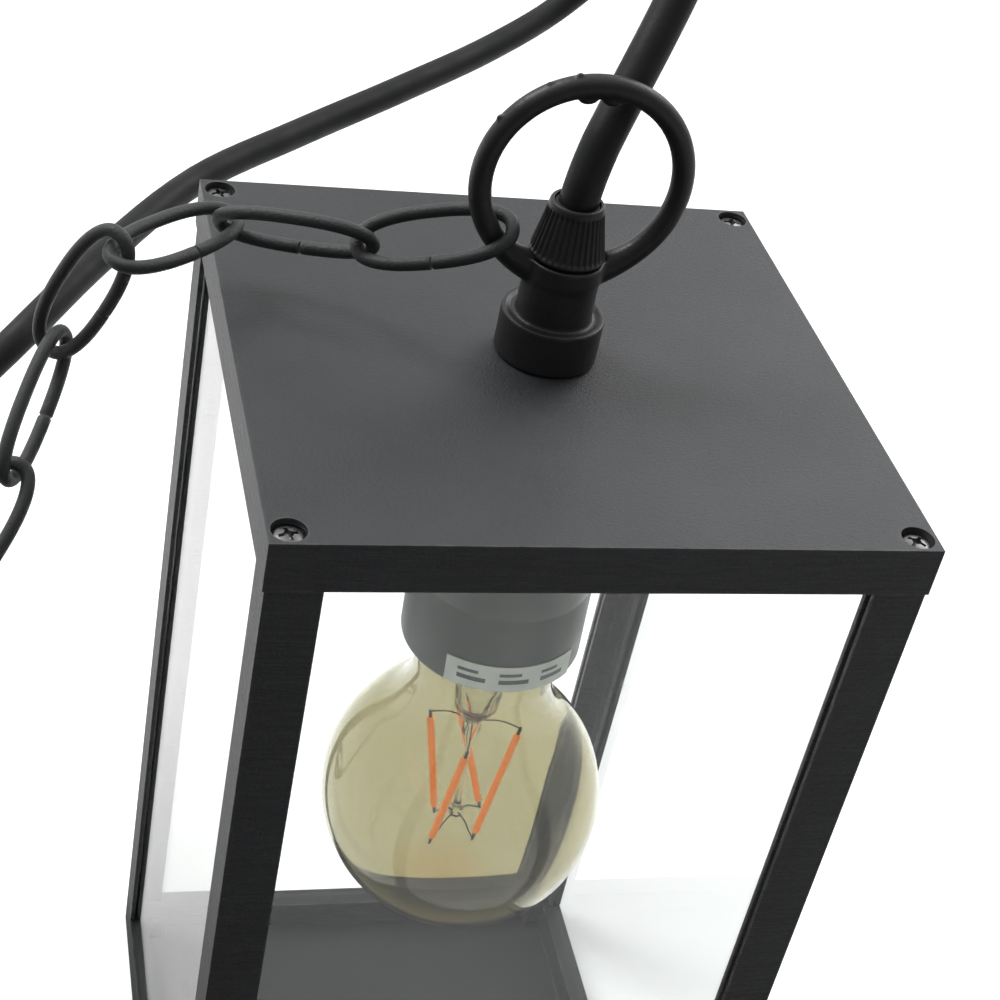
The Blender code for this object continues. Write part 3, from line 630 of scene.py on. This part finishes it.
def make_nibs():
    """Small moulding nibs on the ring, at angles in degrees outside and inside the wire."""
    nibs = bmesh.new()
    outside, inside = RING_R + RING_WIRE_R, RING_R - RING_WIRE_R
    places = [(147, outside, 0.62), (118, outside, 0.5), (103, outside, 0.6)]
    places += [(98, inside, 1.5), (83, inside, 1.6)]
    for degrees, radius, size in places:
        a = math.radians(degrees)
        spot = Matrix.Translation((radius * math.cos(a), 0.0, RING_CENTRE + radius * math.sin(a)))
        spin = Matrix.Rotation(-(a - math.pi / 2), 4, "Y")
        stretch = Matrix.Diagonal((1.35, 0.8, 0.9, 1.0))
        bmesh.ops.create_icosphere(nibs, subdivisions=3, radius=size, matrix=spot @ spin @ stretch)
    return nibs


def make_gland():
    """The moulded gland: spigot, collar, neck and hanging ring melted into one, with the ring's nibs."""
    roof = corners_of("roof_cap")[1].z
    profile = [
        (3.2, 205.0),
        (5.0, 205.0),
        (5.0, roof + 0.3),
        (9.9, roof + 0.3),
        (9.9, roof + 9.1),
        (8.9, roof + 9.1),
        (8.5, roof + 8.7),
        (7.3, roof + 8.7),
        (7.2, 240.5),
        (SEAT_R, 241.6),
        (SEAT_R, SEAT_Z),
        (SPIGOT_R, SEAT_Z),
        (SPIGOT_R, SPIGOT_TOP),
        (BORE_R, SPIGOT_TOP),
        (BORE_R, 233.0),
        (3.2, 233.0),
    ]
    # The bore and the space over the seat are cleared of the ring's swelling, and then the spigot goes back.
    above_seat = [(BORE_R, SEAT_Z), (SEAT_R, SEAT_Z), (SEAT_R, 258.0), (0.0, 258.0)]
    cleared = [(0.0, 233.5), (BORE_R, 233.5), *above_seat]
    spigot_foot = SEAT_Z - 0.3
    spigot = [(BORE_R, spigot_foot), (SPIGOT_R, spigot_foot), (SPIGOT_R, SPIGOT_TOP), (BORE_R, SPIGOT_TOP)]
    points, radii = ring_points()
    body = helper(add_turned(bmesh.new(), profile))
    parts = (
        (helper(add_swept(bmesh.new(), points, radii, sides=24, closed=True)), "UNION"),
        (helper(add_turned(bmesh.new(), cleared)), "DIFFERENCE"),
        (helper(add_turned(bmesh.new(), spigot)), "UNION"),
        (helper(make_nibs()), "UNION"),
    )
    for part, operation in parts:
        boolean(body, part, operation)
    melt = body.modifiers.new("melt", "REMESH")
    melt.mode = "VOXEL"
    melt.voxel_size = 0.3
    smooth = body.modifiers.new("smooth", "SMOOTH")
    smooth.factor = 0.5
    smooth.iterations = 5
    bm = settle(body, [part for part, _ in parts])
    make("gland_moulding", bm, PLASTIC, "lantern", ["gland_body_with_ring"], smooth=60.0)


def make_gland_nut():
    """The nut: a cone with ribs that fade out before its foot and its top."""
    low, high = corners_of("gland_nut")
    ribs, rib_depth, foot_r, top_r, steps = 34, 0.4, 7.2, 5.1, 18
    foot, shoulder = low.z + 0.4, high.z - 0.4

    def groove(angle, radius, z):
        span = min(1.0, max(0.0, (z - foot - 0.3) / 0.5)) * min(1.0, max(0.0, (shoulder - 0.9 - z) / 0.6))
        wave = 0.5 + 0.5 * math.cos(ribs * angle)
        return rib_depth * span * (1 - wave**1.6) if radius > top_r else 0.0

    cone = []
    for step in range(steps + 1):
        t = step / steps
        cone.append((foot_r + (top_r - foot_r) * t, foot + (shoulder - foot) * t))
    wall = [
        (5.3, low.z),
        (foot_r - 0.25, low.z),
        *cone,
        (top_r - 0.25, high.z),
        (4.3, high.z),
        (4.25, high.z - 3.4),
        (5.3, high.z - 3.4),
    ]
    bm = add_turned(bmesh.new(), rounded(wall, 0.15, 2), sides=ribs * 10, shape=groove)
    make("gland_nut_ribbed", bm, PLASTIC, "gland_nut", ["gland_nut"], smooth=60.0)


def make_gland_seal():
    """The rubber seal, squeezed up to just below the nut's top. Its bore follows the cable."""
    low, top = corners_of("gland_seal")[0].z, corners_of("gland_nut")[1].z - 0.5
    outline = [(0.0, low), (4.85, low), (4.85, low + 2.9), (4.2, low + 3.2), (4.2, top), (0.0, top)]
    seal = helper(add_turned(bmesh.new(), rounded(outline, 0.2, 2)))
    route = smooth_route([Vector(point) / MM for point in CABLE_ROUTE[:GLAND_POINTS]], 6)
    bore = helper(add_swept(bmesh.new(), route, CABLE_D / 2 / MM + 0.03, sides=48))
    boolean(seal, bore, "DIFFERENCE")
    bm = settle(seal, [bore])
    make("gland_seal_squeezed", bm, RUBBER, "lantern", ["gland_seal"], smooth=40.0)


# Lampholder and bulb


def lean_frame():
    """The place and turn of the leaned axis that the lampholder and the bulb share."""
    joint = JOINTS["bulb_turn"]
    turn = Vector((0.0, 0.0, 1.0)).rotation_difference(Vector(joint["axis"]))
    return Matrix.Translation(joint["pos_m"]) @ turn.to_matrix().to_4x4()


LEAN = lean_frame()


def make_lampholder():
    """The skirt with a fine groove round it, and the dome above it."""
    shell = [
        (HOLDER_R - HOLDER_WALL - 1.1, HOLDER_BOTTOM),
        *arc((HOLDER_R - 2.0, HOLDER_BOTTOM + 2.0), 2.0, -70, 0, 6),
        (HOLDER_R, -41.0),
        (HOLDER_R - 0.12, -40.7),
        (HOLDER_R - 0.12, -40.1),
        (HOLDER_R, -39.8),
        (HOLDER_R, -26.4),
        (HOLDER_R - 0.4, -26.0),
        (HOLDER_R - HOLDER_WALL, -26.0),
        (HOLDER_R - HOLDER_WALL, HOLDER_BOTTOM + 1.8),
    ]
    bm = add_turned(bmesh.new(), shell)
    make("lampholder_skirt", bm, PHENOLIC, "lantern", ["lampholder_shell"], place=LEAN)
    dome_low, dome_r = -25.7, 9.0
    dome = [
        (HOLDER_R - 0.3, dome_low),
        (HOLDER_R, dome_low + 0.3),
        (HOLDER_R, dome_low + 3.0),
        *arc((HOLDER_R - dome_r, dome_low + 3.0), dome_r, 8, 90, 12),
        (8.9, dome_low + 12.1),
        (8.6, dome_low + 12.6),
        (8.6, -1.2),
        (8.2, -0.8),
        (5.7, -0.8),
        (5.7, dome_low + 10.0),
        *arc((HOLDER_R - dome_r, dome_low + 3.0), dome_r - HOLDER_WALL, 90, 8, 8),
        (HOLDER_R - HOLDER_WALL, dome_low + 3.0),
        (HOLDER_R - HOLDER_WALL, dome_low),
    ]
    bm = add_turned(bmesh.new(), dome)
    make("lampholder_dome", bm, PHENOLIC, "lantern", ["lampholder_cap"], place=LEAN)


def patch(bm, start, end, low, high, inner, outer, steps=24):
    """Adds a curved plate between two azimuths in degrees, two heights and two radii."""
    turn = [math.radians(start + (end - start) * step / steps) for step in range(steps + 1)]
    outline = [(outer * math.cos(a), outer * math.sin(a)) for a in turn]
    outline += [(inner * math.cos(a), inner * math.sin(a)) for a in reversed(turn)]
    return add_prism(bm, outline, low, high)


def make_label():
    """A sticker round the skirt's rim, printed with plain bars."""
    low, high = HOLDER_BOTTOM + 1.4, HOLDER_BOTTOM + 7.9
    bm = patch(bmesh.new(), -132.0, -46.0, low, high, HOLDER_R + 0.04, HOLDER_R + 0.3, 48)
    make("label_sticker", bm, LABEL, "lantern", ["rating_label"], place=LEAN)
    bars = bmesh.new()
    ink = (HOLDER_R + 0.29, HOLDER_R + 0.33)
    for start, end in ((-124.0, -106.0), (-98.0, -79.0), (-71.0, -54.0)):
        patch(bars, start, end, low + 2.0, low + 3.1, *ink)
        patch(bars, start, end - 5.0, low + 4.0, low + 4.8, *ink)
    make("label_bars", bars, INK, "lantern", place=LEAN)


def rod_ends(node):
    """The lower and upper end of a straight rod's axis, in the leaned frame and in millimetres."""
    points = mesh_points(node)
    middle = points.mean(axis=0)
    axis = np.linalg.svd(points - middle)[2][0]
    reach = np.abs((points - middle) @ axis).max()
    ends = [Vector(middle + side * reach * axis) * MM for side in (-1, 1)]
    to_lean = LEAN.inverted()
    return sorted(((to_lean @ end) / MM for end in ends), key=lambda end: end.z)


def make_filaments():
    """Four phosphor strips with metal tabs at both ends, and the wires that hold them."""
    wires = bmesh.new()
    upper, lower = Vector((0.0, 0.0, -84.0)), Vector((0.0, 0.0, -112.0))
    steps = 24
    for number in range(1, 5):
        low, high = rod_ends(f"filament_{number}")
        along = (high - low).normalized()
        points = [low.lerp(high, step / steps) for step in range(steps + 1)]
        radii = [FILAMENT_R * (0.72 if step in (0, steps) else 1.0) for step in range(steps + 1)]
        points[1], points[-2] = low.lerp(high, 0.012), high.lerp(low, 0.012)
        bm = add_swept(bmesh.new(), points, radii, sides=20)
        node = f"filament_{number}"
        make(f"filament_strip_{number}", bm, PHOSPHOR, "bulb", [node], place=LEAN)
        for end, out, anchor in ((high, along, upper), (low, -along, lower)):
            tip = end + out * 2.2
            add_swept(wires, [end - out * 0.4, tip], [0.42, 0.3], sides=10)
            elbow = tip.lerp(anchor, 0.5) + Vector((0.0, 0.0, 0.9))
            near = anchor + (tip - anchor) * 0.08
            route = smooth_route([tip - out * 0.5, tip.lerp(elbow, 0.5), elbow, near], 6)
            add_swept(wires, route, 0.17, sides=8)
    make("filament_wires", wires, LEAD_WIRE, "bulb", place=LEAN)


def pinch(angle, radius, z):
    """The stem's glass is squeezed flat where the lead wires pass through it."""
    flat = math.exp(-(((z + 86.0) / 3.0) ** 2))
    return 0.45 * flat * abs(math.sin(angle)) * min(radius, 3.0)


def make_envelope():
    """The bulb's glass: a ball that runs through a hollow shoulder into the neck, with an inner wall."""
    shoulder_x = NECK_R + SHOULDER_R
    shoulder_z = BULB_CENTRE + math.sqrt((BULB_R + SHOULDER_R) ** 2 - shoulder_x**2)
    tangent = math.degrees(math.atan2(shoulder_z - BULB_CENTRE, shoulder_x))
    neck = ((NECK_R, -63.0), (14.6, -61.6), (13.6, -60.2), (11.9, -59.0), (11.3, -58.2), (11.3, -53.0))
    walls = []
    for inset in (0.0, BULB_WALL):
        side = arc((0.0, BULB_CENTRE), BULB_R - inset, -90, tangent, 64)
        side[0] = (0.0, side[0][1])
        side += arc((shoulder_x, shoulder_z), SHOULDER_R + inset, 180 + tangent, 180, 20)[1:]
        side += [(radius - inset, z) for radius, z in neck]
        walls.append(side)
    bm = add_turned(bmesh.new(), walls[0] + walls[1][::-1], sides=128)
    envelope = make("bulb_envelope", bm, AMBER, "bulb", ["bulb_glass"], 80.0, LEAN)
    envelope.visible_shadow = False


def make_stem():
    """The glass stem that holds the lead wires, from its tip to its flare."""
    outline = [
        (0.0, -114.0),
        (1.1, -113.7),
        (1.6, -113.0),
        (1.6, -111.6),
        (0.9, -110.4),
        (0.75, -108.0),
        (0.75, -91.0),
        (1.3, -89.0),
        (2.1, -87.5),
        (2.1, -84.5),
        (3.2, -82.0),
        (4.9, -79.0),
        (5.3, -74.0),
        (5.2, -62.0),
        (5.9, -58.0),
        (8.6, -54.0),
        (9.6, -52.6),
        (9.6, -51.6),
        (8.6, -51.6),
        (5.0, -57.6),
        (4.3, -62.0),
        (4.4, -74.0),
        (3.8, -78.6),
        (1.6, -82.6),
        (0.0, -83.6),
    ]
    bm = add_turned(bmesh.new(), rounded(outline, 0.8, 3), sides=64, shape=pinch)
    stem = make("bulb_stem_glass", bm, STEM_GLASS, "bulb", ["bulb_stem"], 60.0, LEAN)
    stem.visible_shadow = False


def make_screw_cap():
    """The bulb's threaded cap."""
    low, high, turns, steps = -58.3, -36.6, 6, 12
    thread = []
    for step in range(turns * steps + 1):
        z = low + 1.0 + (high - low - 3.0) * step / (turns * steps)
        thread.append((12.9 + 0.42 * math.cos(2 * math.pi * step / steps), z))
    cap = [(11.75, low), (12.5, low), *thread, (12.4, high - 1.4), (10.9, high - 0.1)]
    cap += [(9.9, high), (9.9, high - 0.7), (11.75, high - 1.7)]
    bm = add_turned(bmesh.new(), cap)
    make("bulb_cap_threaded", bm, NICKEL, "bulb", ["bulb_screw_cap"], place=LEAN)


def dress_inner_nodes():
    """New finishes for the small CAD nodes inside, whose shapes stay."""
    finishes = {
        "gland_washer": BRIGHT_ZINC,
        "gland_lock_nut": BRIGHT_ZINC,
        "lampholder_insert": DARK_PHENOLIC,
        "thread_sleeve": NICKEL,
        "centre_contact": NICKEL,
        "bulb_insulator": DARK_PHENOLIC,
        "bulb_tip": NICKEL,
        "core_live": CORE_COLOURS["core_brown"],
        "core_neutral": CORE_COLOURS["core_blue"],
        "core_earth": CORE_COLOURS["core_green"],
    }
    for name, finish in finishes.items():
        dress(name, finish, 0.12)


# Chain


def link_frame(number):
    """A link's centre and its length, width and thickness axes, with the length away from its hinge."""
    points = mesh_points(f"chain_link_{number:02d}")
    axes = np.linalg.svd(points - points.mean(axis=0))[2]
    along = points @ axes.T
    middle = Vector((along.min(axis=0) + along.max(axis=0)) / 2 @ axes)
    length, width = Vector(axes[0]), Vector(axes[1])
    hinge = Vector(JOINTS[f"link_{number:02d}_swing"]["pos_m"]) / MM
    if length.dot(middle - hinge) < 0:
        length = -length
    return middle, length, width


def link_route(middle, length, side, steps=96):
    """The middle of a link's wire, from one side of its butt joint to the other, and its radius there."""
    slit = LINK_SLIT / LINK_HALF_LENGTH
    points = []
    for step in range(steps + 1):
        angle = math.pi / 2 + slit / 2 + (2 * math.pi - slit) * step / steps
        c, s = math.cos(angle), math.sin(angle)
        x = math.copysign(abs(c) ** (2 / LINK_SQUARENESS), c) * LINK_HALF_LENGTH
        y = math.copysign(abs(s) ** (2 / LINK_SQUARENESS), s) * LINK_HALF_WIDTH
        if step in (0, steps):
            x = math.copysign(0.2, x)
        points.append(middle + length * x + side * y)
    radii = [LINK_WIRE_R * (0.9 if step in (0, steps) else 1.0) for step in range(steps + 1)]
    points.insert(1, points[0].lerp(points[1], 0.12))
    points.insert(-1, points[-1].lerp(points[-2], 0.12))
    radii[1:1] = [LINK_WIRE_R, LINK_WIRE_R]
    return points, radii


def make_chain(count):
    """Open links bent from round wire. The butt joint of each faces the way that it lies in the chain."""
    front = (0.2, -1.0, -0.6)
    butt_towards = {1: front, 2: front, 3: front, 4: (1.0, -0.2, 0.0), 5: (0.0, 1.0, -0.7)}
    for number in range(1, count + 1):
        middle, length, width = link_frame(number)
        spread_out = (math.cos(number * 2.4), math.sin(number * 2.4), 0.1)
        towards = Vector(butt_towards.get(number, spread_out))
        side = width if width.dot(towards) > 0 else -width
        points, radii = link_route(middle, length, side)
        bm = add_swept(bmesh.new(), points, radii, sides=20)
        node = f"chain_link_{number:02d}"
        make(f"{node}_wire", bm, LINK_COAT, f"link_{number:02d}", [node], smooth=50.0)


# Cable


def coil_points():
    """The stored turns: out, in, up, in and out again, each a cable's width from the next. In metres."""
    low, high = corners_of("cable_coil")
    x, y = (low.x + high.x) / 2, (low.y + high.y) / 2
    outer, inner, floor, upper = 43.7, 36.3, 4.1, 11.45
    turns, steps = 3.17, 32

    def ease(turn, start, end):
        t = min(1.0, max(0.0, (turn - start) / (end - start)))
        return t * t * (3 - 2 * t)

    points = []
    for step in range(int(turns * steps) + 1):
        turn = step / steps
        radius = outer + (inner - outer) * (ease(turn, 0.7, 1.0) - ease(turn, 2.42, 2.75))
        z = floor + (upper - floor) * ease(turn, 1.42, 1.75)
        angle = 2 * math.pi * turn
        points.append(Vector((x + radius * math.cos(angle), y + radius * math.sin(angle), z)) * MM)
    return points


def make_cable():
    """The cable as one curve from the gland to its stripped end."""
    curve = bpy.data.curves.new("supply_cable", "CURVE")
    curve.dimensions = "3D"
    curve.bevel_depth = CABLE_D / 2
    curve.bevel_resolution = 6
    curve.use_fill_caps = True
    points = smooth_route([*CABLE_ROUTE, *coil_points(), *CABLE_END], 6)
    spline = curve.splines.new("POLY")
    spline.points.add(len(points) - 1)
    for target, point in zip(spline.points, points):
        target.co = (*point, 1.0)
    curve.materials.append(SHEATH)
    cable = bpy.data.objects.new("supply_cable", curve)
    bpy.context.scene.collection.objects.link(cable)
    register(cable, "lantern", ["cable", "cable_coil"])
    cores = make_core_ends(points[-1] / MM)


def make_core_ends(end):
    """The three insulated cores beyond the sheath, each with a stripped end."""
    pieces = []
    spreads = ((0.9, 3.8), (-1.3, 0.3), (0.6, -2.9))
    for (name, finish), (near, far) in zip(CORE_COLOURS.items(), spreads):
        rise = 2.2 if name == "core_blue" else 0.0
        start = end + Vector((1.5, near, 0.4 * rise - 0.8))
        bend = start + Vector((-6.0, 0.2 * far, 0.3 * rise))
        reach = start + Vector((-17.0, 0.9 * far, -0.6 - 0.3 * rise))
        tip = Vector((end.x - 27.0, end.y + near + far, 1.5))
        core = add_swept(bmesh.new(), smooth_route([start, bend, reach, tip], 8), 1.05, sides=16)
        stands_for = ["cable_cores_end"] if name == "core_brown" else ()
        pieces.append(make(f"{name}_end", core, finish, "lantern", stands_for))
        along = (tip - reach).normalized()
        strip = [tip - along, tip + along * 3.0, tip + along * 5.8]
        copper = add_swept(bmesh.new(), strip, [0.62, 0.62, 0.55], sides=14)
        pieces.append(make(f"{name}_ferrule", copper, COPPER, "lantern"))
    return pieces


# Stage


WINDOW_SIDE = (0.08, 0.86, 0.50)
DIM_SIDE = 0.17
LIT_SIDE = 0.80
LIGHTS_AIM = (0.0, 0.0, 0.15)
CAMERA_PLACE = (-0.1125, -0.3128, 0.4255)
CAMERA_LENS = 73.17
CAMERA_SHIFT = (-0.0015, -0.0006)
CAMERA_YAW, CAMERA_PITCH, CAMERA_ROLL = math.radians(19.48), math.radians(-35.56), math.radians(12.62)


def add_world():
    """White round the back and above, and dim in front. Where the camera sees it, it is plain white."""
    world = bpy.data.worlds.new("studio")
    bpy.context.scene.world = world
    world.use_nodes = True
    tree = world.node_tree
    background = tree.nodes["Background"]
    place = tree.nodes.new("ShaderNodeTexCoord")
    facing = tree.nodes.new("ShaderNodeVectorMath")
    facing.operation = "DOT_PRODUCT"
    facing.inputs[1].default_value = WINDOW_SIDE
    tree.links.new(place.outputs["Generated"], facing.inputs[0])
    spread = tree.nodes.new("ShaderNodeMapRange")
    spread.interpolation_type = "SMOOTHSTEP"
    for key, value in (("From Min", -0.45), ("From Max", 0.55), ("To Min", DIM_SIDE), ("To Max", LIT_SIDE)):
        spread.inputs[key].default_value = value
    tree.links.new(facing.outputs["Value"], spread.inputs["Value"])
    path = tree.nodes.new("ShaderNodeLightPath")
    seen = tree.nodes.new("ShaderNodeMath")
    seen.operation = "MAXIMUM"
    tree.links.new(path.outputs["Is Camera Ray"], seen.inputs[0])
    tree.links.new(path.outputs["Is Transmission Ray"], seen.inputs[1])
    level = tree.nodes.new("ShaderNodeMath")
    level.operation = "MAXIMUM"
    tree.links.new(seen.outputs[0], level.inputs[0])
    tree.links.new(spread.outputs["Result"], level.inputs[1])
    tree.links.new(level.outputs[0], background.inputs["Strength"])
    background.inputs["Color"].default_value = (1.0, 1.0, 1.0, 1.0)


def add_floor():
    """A pale sheet that glows a little where the camera sees it. It lights the lantern as if it were dim in
    front and on the left."""
    bm = add_prism(bmesh.new(), square(4000.0), -4.0, -0.4)
    mesh = bpy.data.meshes.new("floor")
    bmesh.ops.scale(bm, vec=(MM, MM, MM), verts=bm.verts)
    bm.to_mesh(mesh)
    bm.free()
    floor = bpy.data.objects.new("floor", mesh)
    bpy.context.scene.collection.objects.link(floor)
    pale = 0.86
    paint = Paint("studio_floor", (pale, pale, pale), 0.9)
    paint.set("Specular IOR Level", 0.0)
    light = paint.add("ShaderNodeLightPath")
    seen = paint.math("MAXIMUM", light.outputs["Is Camera Ray"], light.outputs["Is Transmission Ray"])
    place = paint.add("ShaderNodeSeparateXYZ", {"Vector": paint.place}).outputs
    across, depth = place["X"], place["Y"]
    right, back = paint.spread(across, -0.15, 0.45, 0.06, 0.6), paint.spread(depth, -0.08, 0.16, 0.04, 0.85)
    lit = paint.math("MAXIMUM", right, back)
    tone = paint.math("MAXIMUM", lit, paint.math("MULTIPLY", seen, pale))
    paint.link(paint.add("ShaderNodeCombineColor", {0: tone, 1: tone, 2: tone}).outputs[0], "Base Color")
    paint.set("Emission Color", (1.0, 1.0, 1.0, 1.0))
    glow = paint.math("MAXIMUM", paint.math("MULTIPLY", seen, 0.4), paint.spread(depth, 0.0, 0.5, 0.0, 0.4))
    paint.link(glow, "Emission Strength")
    mesh.materials.append(paint.material)


def add_light(name, place, size, power):
    """A round soft light at a place in metres, turned to the lantern."""
    light = bpy.data.lights.new(name, "AREA")
    light.shape = "DISK"
    light.size = size
    light.energy = power
    lamp = bpy.data.objects.new(name, light)
    lamp.location = place
    aim = Vector(LIGHTS_AIM) - Vector(place)
    lamp.rotation_euler = aim.to_track_quat("-Z", "Y").to_euler()
    lamp.visible_transmission = False
    bpy.context.scene.collection.objects.link(lamp)


def add_camera():
    """Looks down at the lantern's roof and front from its left."""
    camera = bpy.data.cameras.new("camera")
    camera.sensor_width = 36.0
    camera.lens = CAMERA_LENS
    camera.shift_x, camera.shift_y = CAMERA_SHIFT
    camera.clip_start = 0.01
    seen_from = bpy.data.objects.new("camera", camera)
    level = math.cos(CAMERA_PITCH)
    forward = Vector((math.sin(CAMERA_YAW) * level, math.cos(CAMERA_YAW) * level, math.sin(CAMERA_PITCH)))
    level_right = Vector((math.cos(CAMERA_YAW), -math.sin(CAMERA_YAW), 0.0))
    level_up = level_right.cross(forward)
    right = level_right * math.cos(CAMERA_ROLL) + level_up * math.sin(CAMERA_ROLL)
    up = right.cross(forward)
    turn = Matrix((right, up, -forward)).transposed().to_4x4()
    seen_from.matrix_world = Matrix.Translation(CAMERA_PLACE) @ turn
    bpy.context.scene.collection.objects.link(seen_from)
    bpy.context.scene.camera = seen_from


def main():
    bpy.context.scene.view_settings.view_transform = "Standard"
    make_body()
    make_screws()
    make_gland()
    make_gland_nut()
    make_gland_seal()
    make_lampholder()
    make_label()
    make_envelope()
    make_stem()
    make_screw_cap()
    make_filaments()
    dress_inner_nodes()
    make_chain(sum(name.startswith("chain_link") for name in NODES))
    make_cable()
    add_world()
    add_floor()
    add_light("overhead", (-1.2, 1.0, 2.1), 1.0, 34.0)
    add_light("side_fill", (0.42, 0.36, 0.60), 0.4, 1.5)
    add_camera()
    bpy.context.view_layer.update()


main()
